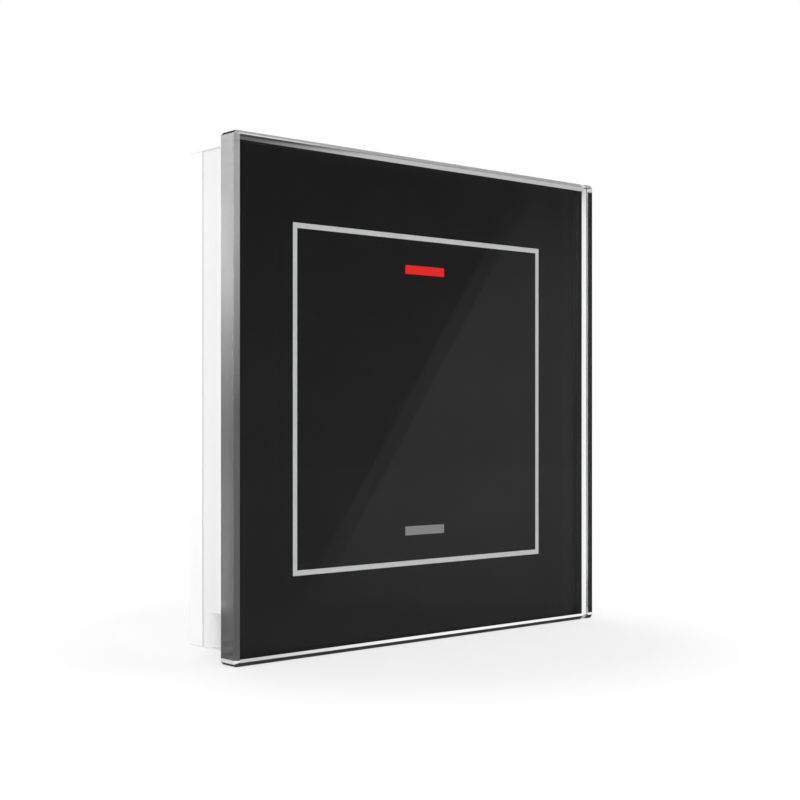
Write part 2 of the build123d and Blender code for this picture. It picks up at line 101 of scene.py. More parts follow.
def add(tree, kind, settings=None, **sockets):
    """A new shader node, with its settings and its sockets."""
    made = tree.nodes.new("ShaderNode" + kind)
    for setting, value in (settings or {}).items():
        setattr(made, setting, value)
    feed(tree, made, sockets)
    return made


def tree_of(*values):
    """The node tree of the first output among some values."""
    return next(value.id_data for value in values if isinstance(value, bpy.types.NodeSocket))


def reckon(operation, *values):
    """One step of arithmetic on outputs and plain numbers."""
    tree = tree_of(*values)
    step = add(tree, "Math", {"operation": operation})
    for socket, value in zip(step.inputs, values):
        fill(tree, socket, value)
    return step.outputs[0]


def times(product, *others):
    """Several outputs and plain numbers, multiplied."""
    for other in others:
        product = reckon("MULTIPLY", product, other)
    return product


def ramp(source, span, levels=(0.0, 1.0)):
    """A straight ramp from one level to the other, as the source crosses the span."""
    (low, high), (start, end) = span, levels
    limits = {"From_Min": low, "From_Max": high, "To_Min": start, "To_Max": end}
    return add(source.id_data, "MapRange", Value=source, **limits).outputs[0]


def shaded(colour, share):
    """A colour times a number."""
    made = add(share.id_data, "VectorMath", {"operation": "SCALE"}, Vector=colour, Scale=share)
    return made.outputs[0]


def blended(share, first, second):
    """The first colour, giving way to the second as the share goes from 0 to 1."""
    tree = share.id_data
    mix = add(tree, "Mix", {"data_type": "RGBA"})
    for index, value in ((0, share), (6, first), (7, second)):
        fill(tree, mix.inputs[index], value)
    return mix.outputs[2]


def place_on(tree):
    """The place on the piece, in its Object coordinates."""
    return add(tree, "TexCoord").outputs["Object"]


def axes_on(tree):
    """The same place as its X, Y and Z."""
    return tuple(add(tree, "SeparateXYZ", Vector=place_on(tree)).outputs)


def noise(place, scale, detail=3.0, **sockets):
    """Cloudy noise, with about so many clouds in a metre."""
    made = add(place.id_data, "TexNoise", Vector=place, Scale=scale, Detail=detail, **sockets)
    return made.outputs[0]


def swung(cloud, least, most):
    """A value that goes from the least to the most over the usual range of a noise."""
    return ramp(cloud, (0.3, 0.7), (least, most))


def bump(height, strength, depth, invert=False):
    """The normal of a relief that is so deep where its height is 1."""
    tree = height.id_data
    made = add(tree, "Bump", {"invert": invert}, Strength=strength, Distance=depth, Height=height)
    return made.outputs[0]


def skin_group(name, takes):
    """A node group for a skin, with what it takes. It gives a colour, a roughness and a normal."""
    tree = bpy.data.node_groups.new(name, "ShaderNodeTree")
    for label, value in takes.items():
        kind = "Color" if label == "Color" else "Float"
        socket = tree.interface.new_socket(label, in_out="INPUT", socket_type="NodeSocket" + kind)
        socket.default_value = value
    for label, kind in (("Base Color", "Color"), ("Roughness", "Float"), ("Normal", "Vector")):
        tree.interface.new_socket(label, in_out="OUTPUT", socket_type="NodeSocket" + kind)
    return tree, tree.nodes.new("NodeGroupInput").outputs


def end_skin(tree, taken, stain, uneven, swing, normal):
    """Links what a skin group gives: its colour less the stain, and a roughness that swings about
    the gloss as the unevenness goes from 0 to 1."""
    tone = reckon("SUBTRACT", 1.0, stain)
    rough = reckon("MULTIPLY_ADD", uneven, swing, taken["Gloss"])
    rough = reckon("SUBTRACT", rough, swing / 2)
    given = {"Base Color": shaded(taken["Color"], tone), "Roughness": rough, "Normal": normal}
    feed(tree, tree.nodes.new("NodeGroupOutput"), given)


def wear(finish, *nodes):
    """Puts one material on each named sub-part."""
    for name in nodes:
        mesh = switch[name].data
        mesh.materials.clear()
        mesh.materials.append(finish)


def dressed(name, colour, nodes, group, plain, **values):
    """A material whose Principled shader takes what a skin group gives, on the named sub-parts."""
    finish, tree = finish_named(name, colour, values["Gloss"])
    treat(finish, **plain)
    made = add(tree, "Group", {"node_tree": group}, Color=(*colour, 1), **values)
    treat(finish, **{output.name: output for output in made.outputs})
    wear(finish, *nodes)
    return finish


skin_usual = {"Color": (0.8, 0.8, 0.8, 1), "Gloss": 0.45, "Mottle": 0.03, "Grain": 0.3, "Grain Pitch": 0.3}
moulded_skin, skin_in = skin_group("moulded_skin", skin_usual)
skin_place = place_on(moulded_skin)
skin_flow = noise(skin_place, scale=42.0)
skin_fine = reckon("DIVIDE", 1.0 / MM, skin_in["Grain Pitch"])
skin_pits = noise(skin_place, scale=skin_fine, detail=2.0)
skin_stain = times(swung(skin_flow, 0.0, 1.0), skin_in["Mottle"])
skin_relief = bump(skin_pits, strength=skin_in["Grain"], depth=0.02 * MM)
end_skin(moulded_skin, skin_in, skin_stain, skin_pits, swing=0.12, normal=skin_relief)


def moulded(name, colour, *nodes, gloss=0.45, mottle=0.03, grain=0.3, pitch=0.3):
    """A moulded plastic, its skin varied by the moulded_skin group. The grain's pitch is in mm."""
    return dressed(
        name, colour, nodes, moulded_skin, {}, Gloss=gloss, Mottle=mottle, Grain=grain, Grain_Pitch=pitch
    )


def rounded_ring(half_x, half_z, corner, y, steps=5):
    """Points of a rounded oblong in a plane of constant y. Each corner is a quarter circle: centre
    plus radius times (cos a, sin a), with a running through that corner's quarter."""
    quarter = np.linspace(0, math.pi / 2, steps)
    angle = np.arange(4)[:, None] * math.pi / 2 + quarter
    sign = np.array([(1, 1), (-1, 1), (-1, -1), (1, -1)])[:, None, :]
    circle = np.stack([np.cos(angle), np.sin(angle)], axis=-1)
    flat = (sign * (half_x - corner, half_z - corner) + corner * circle).reshape(-1, 2)
    return np.column_stack([flat[:, 0], np.full(len(flat), y), flat[:, 1]])


def skin_over(rings):
    """A closed skin over rings of points: four-sided faces between neighbours, and two flat ends."""
    count, size = rings.shape[:2]
    along = np.arange(size)
    after = (along + 1) % size
    first = np.arange(count - 1)[:, None] * size
    sides = np.stack([first + along, first + after, first + size + after, first + size + along], -1)
    ends = np.stack([along[::-1], along + (count - 1) * size])
    return rings.reshape(-1, 3), [sides.reshape(-1, 4), ends]


def slab(half_x, half_z, corner, edges):
    """A rounded oblong plate. Each edge is how far a ring lies inside the outline, and its y."""
    least = 0.02 * MM
    rings = [
        rounded_ring(half_x - inset, half_z - inset, max(corner - 0.5 * inset, least), y)
        for inset, y in edges
    ]
    return skin_over(np.array(rings))


def turned(profile, sides=40):
    """A profile of (radius, y) turned about the Y axis: points (r cos a, y, r sin a)."""
    angle = np.linspace(0, 2 * math.pi, sides, endpoint=False)
    radius, y = np.asarray(profile, dtype=float).T[:, :, None]
    across = np.broadcast_to(y, (len(profile), sides))
    return skin_over(np.stack([radius * np.cos(angle), across, radius * np.sin(angle)], axis=-1))


def placed(shape, x, z, angle=0.0):
    """A shape turned about Y and moved: x' = x cos a - z sin a, and z' = x sin a + z cos a."""
    points, faces = shape
    cos, sin = math.cos(angle), math.sin(angle)
    turn = np.array([(cos, 0, sin), (0, 1, 0), (-sin, 0, cos)])
    return points @ turn + (x, 0, z), faces


def joined(shapes):
    """Several shapes as one, each one's faces counted on from the points before it."""
    starts = np.cumsum([0] + [len(points) for points, parts in shapes])
    faces = [part + start for (points, parts), start in zip(shapes, starts) for part in parts]
    return np.concatenate([points for points, parts in shapes]), faces


def solid_piece(name, shape, body, slot, *finishes, smooth=True):
    """A mesh object at the origin with its faces turned outwards, riding on a body."""
    points, faces = shape
    mesh = bpy.data.meshes.new(name)
    mesh.from_pydata(points.tolist(), [], [face for part in faces for face in part.tolist()])
    for finish in finishes:
        mesh.materials.append(finish)
    form = bmesh.new()
    form.from_mesh(mesh)
    bmesh.ops.recalc_face_normals(form, faces=form.faces[:])
    form.to_mesh(mesh)
    form.free()
    if smooth:
        mesh.shade_smooth()
        mesh.set_sharp_from_angle(angle=math.radians(35))
    piece = stand(name, mesh)
    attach(piece, body)
    return piece


def pin_marks(name, body, slot, finish, places, y, radius, rise):
    """Very shallow round discs on a face, as ejector pins leave them, at (x, z) in millimetres."""
    edge = 0.06 * MM
    sunk = y - math.copysign(0.02 * MM, rise)
    disc = turned([(radius, sunk), (radius, y), (radius - edge, y + rise), (edge, y + rise)])
    solid_piece(name, joined([placed(disc, x * MM, z * MM) for x, z in places]), body, slot, finish)


white_base = moulded("white_base", (0.95, 0.95, 0.95), "wall_base", gloss=0.42)
hollow_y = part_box("wall_base")[1].y - 0.6 * MM
collar_radius = 24.2 * MM
rib_half, rib_rise, rib_bevel, sunk = 0.45 * MM, 0.45 * MM, 0.06 * MM, 0.02 * MM
rib_top = hollow_y + rib_rise
rib_edges = [(0.0, hollow_y - sunk), (0.0, rib_top - 0.07 * MM), (rib_bevel, rib_top)]


def base_rib(degrees, reach):
    """A straight rib from the collar outwards, in the given direction. Both its ends go a little
    way into what they meet."""
    both_ends = 0.4 * MM
    angle = math.radians(degrees)
    middle = (collar_radius + reach) / 2
    length = reach - collar_radius + both_ends
    rib = slab(length / 2, rib_half, rib_half / 3, rib_edges)
    return placed(rib, middle * math.cos(angle), middle * math.sin(angle), angle)


ribs = [base_rib(22.5 + 45 * n, 43.7 * MM) for n in range(8)]
ribs += [base_rib(45 + 90 * n, 49.2 * MM) for n in range(4)]
solid_piece("base_ribs", joined(ribs), "switch_body", "white_plastic", white_base)
base_places = [
    place
    for a, b in ((33, 20), (20, 33))
    for place in ((a, b), (-a, b), (-a, -b), (a, -b))
]
pin_marks(
    "base_ejector_marks", "switch_body", "white_plastic", white_base,
    base_places, hollow_y, radius=2.0 * MM, rise=0.05 * MM,
)

# Rear cover: a plain lid of pale grey ABS over the electronics, held by four screws. A blank label
# of satin film lies in the shallow field below the bus terminal.
pale_cover = moulded("pale_cover", (0.66, 0.67, 0.67), "rear_cover", gloss=0.5, grain=0.4)
cover_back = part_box("rear_cover")[1].y
cover_places = ((-15, 3), (15, 3), (-15, 15), (15, 15), (-30, -30), (30, -30), (-30, 30), (30, 30))
pin_marks(
    "cover_ejector_marks", "switch_body", "cover_plastic", pale_cover,
    cover_places, cover_back, radius=1.5 * MM, rise=0.05 * MM,
)
label_field = 0.2 * MM
label_y = cover_back - label_field
label_half_x, label_half_z, label_corner, label_z = 16.5 * MM, 6.0 * MM, 0.8 * MM, -14.0 * MM
label_edges = [(0.0, label_y - sunk), (0.0, label_y + 0.07 * MM), (0.03 * MM, label_y + 0.09 * MM)]
label_shape = placed(slab(label_half_x, label_half_z, label_corner, label_edges), 0.0, label_z)
label_film = moulded("label_film", (0.78, 0.78, 0.77), gloss=0.33, mottle=0.05, grain=0.12, pitch=0.08)
solid_piece("blank_label", label_shape, "switch_body", "cover_plastic", label_film)

# Bus terminal: two push-on halves, red and grey, with four wire funnels each. Spring cages inside
# grip the wires and the header's two tinned pins. Ribs on its sides give a hold to pull it by.
grip_half_x, grip_half_z, grip_corner = 0.22 * MM, 3.4 * MM, 0.12 * MM
grip_bevel, grip_first, grip_pitch, grip_wide = 0.1 * MM, 1.6 * MM, 0.9 * MM, 0.5 * MM
terminal_halves = (
    ("red", (0.44, 0.018, 0.016), 0.36),
    ("grey", (0.075, 0.078, 0.08), 0.38),
)
for half, colour, gloss in terminal_halves:
    node = "bus_terminal_" + half
    plastic = moulded("terminal_" + half, colour, node, gloss=gloss)
    half_low, half_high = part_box(node)
    outer_x = half_high.x if half == "red" else half_low.x
    middle_z = (half_low.z + half_high.z) / 2
    grips = []
    for n in range(4):
        near = half_high.y - (grip_first + grip_pitch * n)
        far = near - grip_wide
        edges = [(grip_bevel, far), (0.0, far + grip_bevel), (0.0, near - grip_bevel), (grip_bevel, near)]
        grips.append(placed(slab(grip_half_x, grip_half_z, grip_corner, edges), outer_x, middle_z))
    solid_piece("terminal_grips_" + half, joined(grips), "bus_terminal", "terminal_" + half, plastic)

metal_usual = {"Color": (0.6, 0.6, 0.6, 1), "Gloss": 0.3, "Stain": 0.12, "Scuff": 0.15}
plated_skin, metal_in = skin_group("plated_skin", metal_usual)
metal_place = place_on(plated_skin)
metal_cloud = noise(metal_place, scale=260.0, detail=4.0)
metal_dents = add(plated_skin, "TexVoronoi", {"feature": "SMOOTH_F1"}, Vector=metal_place, Scale=1900.0)
metal_stain = times(ramp(metal_cloud, (0.35, 0.7)), metal_in["Stain"])
metal_relief = bump(metal_dents.outputs["Distance"], strength=metal_in["Scuff"], depth=0.01 * MM)
end_skin(plated_skin, metal_in, metal_stain, metal_cloud, swing=0.2, normal=metal_relief)


def plated(name, colour, *nodes, gloss, metallic, stain=0.12, scuff=0.15):
    """A plated or bare metal, its skin varied by the plated_skin group."""
    return dressed(
        name, colour, nodes, plated_skin, {"Metallic": metallic}, Gloss=gloss, Stain=stain, Scuff=scuff
    )


plated("spring_steel", (0.62, 0.61, 0.58), "terminal_clamps", gloss=0.28, metallic=0.8)
plated("tinned_brass", (0.80, 0.79, 0.76), "bus_pins", gloss=0.26, metallic=0.8)
moulded("header_plastic", (0.045, 0.046, 0.048), "bus_header", gloss=0.42)

# Circuit board: glass-epoxy laminate under green solder mask. Copper tracks show as lighter green,
# with tinned pads at the parts, and the bus pins are soldered in from behind.
board_low, board_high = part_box("circuit_board")
board_mask, mask_tree = finish_named("board_mask", (0.010, 0.085, 0.035), 0.32)
mask_place = place_on(mask_tree)
mask_cloud = noise(mask_place, scale=70.0)
mask_threads = [
    add(mask_tree, "TexWave", {"bands_direction": way}, Vector=mask_place, Scale=320.0).outputs["Fac"]
    for way in "XZ"
]
mask_weave = times(*mask_threads)
mask_share = reckon("MULTIPLY_ADD", mask_weave, 0.25, swung(mask_cloud, 0.0, 0.6))
treat(
    board_mask,
    Base_Color=blended(mask_share, (0.008, 0.072, 0.030, 1), (0.014, 0.105, 0.043, 1)),
    Roughness=swung(mask_cloud, 0.26, 0.38),
    Normal=bump(mask_weave, strength=0.15, depth=0.01 * MM),
)
wear(board_mask, "circuit_board")


def ribbon(path, width, shift, y_low, y_high):
    """A flat strip along a path of (x, z) points. Its sides are the path plus multiples of the
    mitred normal, (a + b) / (1 + a.b) for the normals a and b of the two runs that meet."""
    run = np.diff(path, axis=0)
    normal = np.column_stack([-run[:, 1], run[:, 0]]) / np.linalg.norm(run, axis=1)[:, None]
    before = np.vstack([normal[:1], normal])
    after = np.vstack([normal, normal[-1:]])
    mitre = (before + after) / (1 + np.sum(before * after, axis=1))[:, None]
    far, near = shift + width / 2, shift - width / 2
    rings = []
    for out, y in ((far, y_low), (near, y_low), (near, y_high), (far, y_high)):
        edge = path + mitre * out
        rings.append(np.column_stack([edge[:, 0], np.full(len(edge), y), edge[:, 1]]))
    return skin_over(np.stack(rings, axis=1))


def track_ribbons(bundles, y_face, way):
    """Bundles of tracks on a face of the board, which looks along Y when the way is 1. A bundle is
    its number of tracks, and the path of its middle as (x, z) in millimetres."""
    width, pitch, rise = 0.28 * MM, 0.62 * MM, 0.035 * MM
    y_low, y_high = y_face - way * sunk, y_face + way * rise
    return [
        ribbon(np.array(path) * MM, width, (n - (lines - 1) / 2) * pitch, y_low, y_high)
        for lines, path in bundles
        for n in range(lines)
    ]


back_bundles = [
    (5, [(-12.2, 3.0), (-8.0, 3.0), (-2.5, -2.5), (-2.5, -10.6)]),
    (4, [(-12.2, 6.5), (-9.5, 6.5), (-6.5, 9.5), (-6.5, 16.0)]),
    (6, [(-16.0, 0.2), (-16.0, -1.2), (-12.0, -5.2), (-12.0, -19.3)]),
    (3, [(2.2, -13.0), (9.0, -13.0), (16.2, -5.8)]),
    (4, [(12.8, 7.0), (10.0, 7.0), (7.6, 9.4), (7.6, 16.5)]),
    (5, [(-19.8, 4.0), (-24.0, 4.0), (-27.0, 7.0), (-27.0, 27.0), (-24.0, 30.0), (20.0, 30.0)]),
    (4, [(19.2, 6.0), (23.0, 6.0), (27.0, 2.0), (27.0, -16.0), (23.0, -20.0), (10.8, -20.0)]),
    (3, [(0.0, -15.2), (0.0, -17.5), (6.0, -27.0), (6.0, -30.5), (-26.0, -30.5)]),
]
# the front face carries the feeds of the two touch electrodes and of the two bars
front_bundles = [
    (6, [(-30.0, -8.0), (-26.0, -4.0), (-26.0, 4.0), (-30.0, 8.0), (-30.0, 26.0)]),
    (4, [(30.0, -24.0), (30.0, 24.0), (26.0, 30.0), (4.0, 30.0)]),
    (3, [(-16.0, 29.0), (-5.0, 29.0), (-2.8, 26.8)]),
    (3, [(-16.0, -29.0), (-5.0, -29.0), (-2.8, -26.8)]),
]
tracks = track_ribbons(back_bundles, board_high.y, 1) + track_ribbons(front_bundles, board_low.y, -1)
covered_copper = moulded("covered_copper", (0.030, 0.165, 0.062), gloss=0.3, mottle=0.12, grain=0.1)
solid_piece("board_tracks", joined(tracks), "switch_body", "board_laminate", covered_copper)

solder_tin = plated("solder_tin", (0.74, 0.74, 0.75), gloss=0.24, metallic=0.8, stain=0.1)
# a solder cone's radius, and its height in front of the board, in millimetres
cone_line = [(1.15, 0.02), (1.1, -0.03), (0.82, -0.14), (0.62, -0.36), (0.56, -0.5), (0.3, -0.52)]
joint_cone = turned(np.array(cone_line) * MM + (0, board_low.y))
pins_low, pins_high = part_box("bus_pins")
pin_half = 0.5 * MM
pin_x = (pins_high.x - pins_low.x) / 2 - pin_half
pin_z = (pins_low.z + pins_high.z) / 2
pin_joints = [placed(joint_cone, side * pin_x, pin_z) for side in (-1, 1)]
solid_piece("pin_solder", joined(pin_joints), "switch_body", "tinned_brass", solder_tin)

# Parts on the board: black moulded packages with gull-wing leads, chips with tinned ends, and a
# canned crystal. All are soldered flat to the board's back.
packages = ("microcontroller", "touch_controller", "bus_transceiver", "regulator", "protection_diode")
moulded("chip_black", (0.022, 0.022, 0.023), *packages, gloss=0.55, mottle=0.2, grain=0.5, pitch=0.12)
plated("crystal_can", (0.72, 0.70, 0.64), "crystal", gloss=0.3, metallic=0.8)
moulded("ferrite_dark", (0.055, 0.052, 0.05), "choke", gloss=0.62, mottle=0.25, grain=0.7, pitch=0.2)
moulded("capacitor_resin", (0.46, 0.26, 0.05), "storage_capacitors", gloss=0.4, mottle=0.12, grain=0.25)
chip_skin = {"mottle": 0.15, "grain": 0.2, "pitch": 0.1}
moulded("capacitor_ceramic", (0.36, 0.25, 0.15), "ceramic_capacitors", gloss=0.3, **chip_skin)
moulded("resistor_top", (0.03, 0.03, 0.032), "chip_resistors", gloss=0.28, **chip_skin)

# a lead's middle line: how far it is from the package's side, and its height above the board
lead_line = np.array([(-0.1, 0.5), (0.22, 0.5), (0.34, 0.44), (0.46, 0.12), (0.56, 0.07), (0.95, 0.07)])
lead_thick = 0.1


def lead(width):
    """A flat lead that leaves its package sideways, steps down and lies on the board. Its rings are
    the middle line plus and minus half its thickness along the line's own normal."""
    slope = np.gradient(lead_line, axis=0)
    normal = np.column_stack([-slope[:, 1], slope[:, 0]]) / np.linalg.norm(slope, axis=1)[:, None]
    upper = lead_line + normal * lead_thick / 2
    lower = lead_line - normal * lead_thick / 2
    rings = [
        np.column_stack([*line.T, np.full(len(line), side * width / 2)])
        for line, side in ((upper, 1), (lower, 1), (lower, -1), (upper, -1))
    ]
    points, faces = skin_over(np.stack(rings, axis=1) * MM)
    return points + (0, board_high.y, 0), faces


def package_leads(node, per_side, turns_of_side, width, pitch):
    """The leads of one package, on the sides that face the given quarter turns."""
    low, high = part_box(node)
    half = ((high.x - low.x) / 2, (high.z - low.z) / 2)
    middle = ((high.x + low.x) / 2, (high.z + low.z) / 2)
    made = []
    for quarter in turns_of_side:
        angle = quarter * math.pi / 2
        out = half[quarter % 2]
        for n in range(per_side):
            along = (n - (per_side - 1) / 2) * pitch * MM
            x = middle[0] + out * math.cos(angle) - along * math.sin(angle)
            z = middle[1] + out * math.sin(angle) + along * math.cos(angle)
            made.append(placed(lead(width), x, z, angle))
    return made


def end_caps(centres, length, width, height, wrap):
    """Tinned caps over both ends of small chips that lie along X. Each is a thin rounded box."""
    proud = 0.02 * MM
    top = board_high.y + height * MM
    edges = [(proud, board_high.y), (0.0, board_high.y + proud), (0.0, top), (proud, top + proud)]
    cap = slab((wrap / 2) * MM + proud, width / 2 * MM + proud, 0.06 * MM, edges)
    return [placed(cap, x + side * (length - wrap) / 2 * MM, z) for x, z in centres for side in (-1, 1)]


leads = package_leads("microcontroller", 8, (0, 1, 2, 3), width=0.32, pitch=0.8)
leads += package_leads("bus_transceiver", 4, (0, 2), width=0.42, pitch=1.27)
leads += package_leads("regulator", 3, (0,), width=0.4, pitch=0.95)
leads += package_leads("regulator", 2, (2,), width=0.4, pitch=1.9)
leads += package_leads("touch_controller", 5, (0, 1, 2, 3), width=0.25, pitch=0.65)
leads += package_leads("protection_diode", 1, (0, 2), width=1.4, pitch=1.0)
solid_piece("package_leads", joined(leads), "switch_body", "tinned_brass", solder_tin)

row_low, row_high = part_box("ceramic_capacitors")
chip_length, chip_width, chips_in_row = 1.6, 0.8, 9
row_places = np.linspace(row_low.x + chip_length / 2 * MM, row_high.x - chip_length / 2 * MM, chips_in_row)
caps = []
for node, height, wrap in (("ceramic_capacitors", 0.8, 0.35), ("chip_resistors", 0.45, 0.3)):
    chip_low, chip_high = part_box(node)
    row_centres = [(x, (chip_low.z + chip_high.z) / 2) for x in row_places]
    caps += end_caps(row_centres, chip_length, chip_width, height, wrap)
storage_centres = [(-8.0 * MM, 18.0 * MM), (-8.0 * MM, 23.0 * MM)]
choke_centre = (17.0 * MM, 18.0 * MM)
caps += end_caps(storage_centres, length=6.0, width=3.2, height=1.1, wrap=0.5)
caps += end_caps([choke_centre], length=5.0, width=5.0, height=1.1, wrap=0.7)
solid_piece("chip_ends", joined(caps), "switch_body", "tinned_brass", solder_tin)

# Board and cover screws: pan-head steel screws, zinc plated, with a rolled thread and a cross.
# The four longer ones hold the housing to the base and show when the glass front is off.
zinc_steel = plated("zinc_steel", (0.72, 0.73, 0.74), gloss=0.34, metallic=0.55)


def screw_shape(head_radius, head_height, shank_radius, shank_length, pitch, sides=48):
    """A pan-head screw whose seat is at y = 0 and whose shank runs to +Y. Its head falls from the
    middle with (r / R) ** 4 and a little (r / R) ** 2. The cross is cut where a point is near
    either arm, ever less deep towards the ends of the arms. The shank's radius is the core's plus
    a tooth that climbs one pitch in each turn."""
    angle = np.linspace(0, 2 * math.pi, sides, endpoint=False)
    share = np.concatenate([[0.01], np.linspace(0.04, 0.9, 20), [0.95, 0.98, 1.0]])[:, None]
    edge_fall, bowl_fall = 0.35, 0.12
    crown = -head_height * (1 - edge_fall * share ** 4 - bowl_fall * share ** 2)
    cos, sin = np.cos(angle), np.sin(angle)
    arm_half, arm_reach, arm_depth = 0.13, 0.62, 0.62
    arm_side, arm_end = 0.04, 0.05
    across = np.minimum(np.abs(share * cos), np.abs(share * sin))
    along = np.maximum(np.abs(share * cos), np.abs(share * sin))
    in_arm = np.clip((arm_half - across) / arm_side, 0, 1)
    in_arm *= np.clip((arm_reach - along) / arm_end, 0, 1)
    cut = in_arm * head_height * arm_depth * (1 - 0.5 * (along / arm_reach) ** 2)
    head_y = crown + cut
    head_r = np.broadcast_to(share * head_radius, head_y.shape)
    side_y = np.array([-head_height * 0.3, -head_height * 0.08, 0.0])[:, None]
    side_r = np.array([1.0, 0.98, 0.93])[:, None] * head_radius
    steps_of_turn, crest, flank, core_share, tip_share = 9, 1.35, 3.2, 0.78, 0.35
    thread_y = np.arange(0.0, shank_length - 0.9 * pitch, pitch / steps_of_turn)[:, None]
    phase = (thread_y / pitch - angle / (2 * math.pi)) % 1.0
    tooth = np.clip(crest - flank * np.abs(phase - 0.5), 0, 1)
    fade = np.clip((thread_y - 0.3 * pitch) / pitch, 0, 1)
    core = core_share * shank_radius
    thread_r = core + (shank_radius - core) * (tooth * fade + (1 - fade))
    tip_y = np.array([shank_length - 0.7 * pitch, shank_length])[:, None]
    tip_r = np.array([core, tip_share * core])[:, None]
    flat = np.ones((1, sides))
    y = np.concatenate([head_y, side_y * flat, thread_y * flat, tip_y * flat])
    r = np.concatenate([head_r, side_r * flat, thread_r, tip_r * flat])
    return skin_over(np.stack([r * cos, y, r * sin], axis=-1))


def screw_set(name, node, shape, way, y_seat):
    """One screw at each corner of the node's box, in place of the plain solids. A screw driven
    towards the room is turned over: (x, y, z) becomes (x, -y, z). Each cross stops at its own
    angle."""
    first_turn, next_turn = 0.4, 0.7
    low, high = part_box(node)
    points, faces = shape
    reach = np.abs(points[:, 0]).max()
    points = points * (1, way, 1) + (0, y_seat, 0)
    columns = sorted({round(low.x + reach, 6), round(high.x - reach, 6)})
    rows = sorted({round(low.z + reach, 6), round(high.z - reach, 6)})
    places = [(x, z) for x in columns for z in rows]
    screws = [
        placed((points, faces), x, z, first_turn + next_turn * n) for n, (x, z) in enumerate(places)
    ]
    piece = solid_piece(name, joined(screws), "switch_body", "zinc_steel", zinc_steel)
    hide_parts(node)


screw_low, screw_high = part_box("housing_screws")
long_head = 1.5 * MM
seat_y = screw_low.y + long_head
long_screw = screw_shape(2.5 * MM, long_head, 1.3 * MM, screw_high.y - seat_y, pitch=1.0 * MM)
screw_set("housing_screw_set", "housing_screws", long_screw, 1, seat_y)
for set_name, node, seat_y in (
    ("board_screw_set", "board_screws", board_high.y),
    ("cover_screw_set", "rear_cover_screws", cover_back),
):
    short_length = seat_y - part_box(node)[0].y
    short_screw = screw_shape(1.8 * MM, 0.8 * MM, 1.0 * MM, short_length, pitch=0.6 * MM)
    screw_set(set_name, node, short_screw, -1, seat_y)

# Light path of each bar: an LED on the board, a guide of opal acrylic and a black shroud round it.
# The upper one is lit red, the lower one is off.
led_skin = {"gloss": 0.25, "mottle": 0.1, "grain": 0.05}
opal_skin = {"gloss": 0.35, "mottle": 0.06, "grain": 0.2}
moulded("led_resin", (0.82, 0.72, 0.38), "led_bottom", "programming_led", **led_skin)
led_lit = moulded("led_lit", (0.5, 0.03, 0.03), "led_top", **led_skin)
treat(led_lit, Emission_Color=(1.0, 0.02, 0.03, 1), Emission_Strength=1.5)
moulded("opal_guide", (0.80, 0.80, 0.79), "light_guide_bottom", **opal_skin)
opal_lit = moulded("opal_lit", (0.62, 0.05, 0.045), "light_guide_top", **opal_skin)
treat(opal_lit, Emission_Color=(0.90, 0.020, 0.028, 1), Emission_Strength=0.7)
shrouds = ("light_shroud_top", "light_shroud_bottom")
moulded("shroud_black", (0.018, 0.018, 0.019), *shrouds, gloss=0.5, grain=0.5)

# Touch electrodes: blocks of conductive foam that reach from the board to the back of the glass.
# The foam's open cells are painted darker inside, a painted shade in their hollows.
touch_foam, foam_tree = finish_named("touch_foam", (0.045, 0.046, 0.048), 0.9)
foam_place = place_on(foam_tree)
foam_cell = add(foam_tree, "TexVoronoi", Vector=foam_place, Scale=2600.0).outputs["Distance"]
foam_cell = ramp(foam_cell, (0.1, 0.7), (1.0, 0.0))
foam_height = times(foam_cell, noise(foam_place, scale=900.0))
# painted shade: the colour darkens where the cells are deep
foam_hollow_shade = ramp(foam_height, (0.0, 0.5))
treat(
    touch_foam,
    Base_Color=blended(foam_hollow_shade, (0.075, 0.076, 0.078, 1), (0.014, 0.014, 0.015, 1)),
    Normal=bump(foam_height, strength=0.9, depth=0.08 * MM, invert=True),
)
wear(touch_foam, "touch_pad_top", "touch_pad_bottom")

# Housing: a square shell of white ABS, sprayed in the same mould finish as the base. Painted light
# and shade: its tone is painted lighter near the glass, where the pane shades it, and lighter low
# down and darker upwards, to even out how the lamps fall on it, and a painted shade line darkens it
# at the hairline seam to the base. Behind the glass front lie its steel keepers, and the ejector pins
# have left discs on its front wall.
white_shell = moulded("white_shell", (0.77, 0.77, 0.77), "housing", gloss=0.42)
shell_tree = white_shell.node_tree
shell_low, shell_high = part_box("housing")
shell_x, shell_y, shell_z = axes_on(shell_tree)
seam_painted_shade = 0.72
seam_edge = (shell_high.y - 0.34 * MM, shell_high.y - 0.26 * MM)
# painted light and shade: lighter near the glass and low down, darker upwards and at the seam
shell_painted_light = times(
    ramp(shell_y, (shell_low.y, shell_low.y + 3.0 * MM), (0.97, 0.79)),
    ramp(shell_z, (-22 * MM, 44 * MM), (1.075, 0.88)),
    ramp(shell_y, seam_edge, (1.0, seam_painted_shade)),
)
# painted light: the lever pockets at the lower corners are painted white inside, down to their depth
# from the sides, over the shade that falls in them
pocket_depth, pocket_painted_light = 3.1 * MM, 0.95
pocket_top = shell_low.z + 6.7 * MM
pocket_x = reckon("ADD", reckon("ABSOLUTE", shell_x), 0.05 * MM)
pocket_in = reckon("COMPARE", pocket_x, shell_high.x - pocket_depth / 2, pocket_depth / 2)
pocket_light_mask = ramp(shell_z, (pocket_top, pocket_top + 0.05 * MM), (pocket_painted_light, 0.0))
shell_painted_light = reckon("MAXIMUM", shell_painted_light, times(pocket_in, pocket_light_mask))
feed(shell_tree, shell_tree.nodes["Group"], {"Color": shaded((1.0, 1.0, 1.0), shell_painted_light)})
plated("keeper_steel", (0.66, 0.66, 0.66), "keeper_plates", gloss=0.38, metallic=0.55, stain=0.2, scuff=0.3)
wall_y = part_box("keeper_plates")[0].y
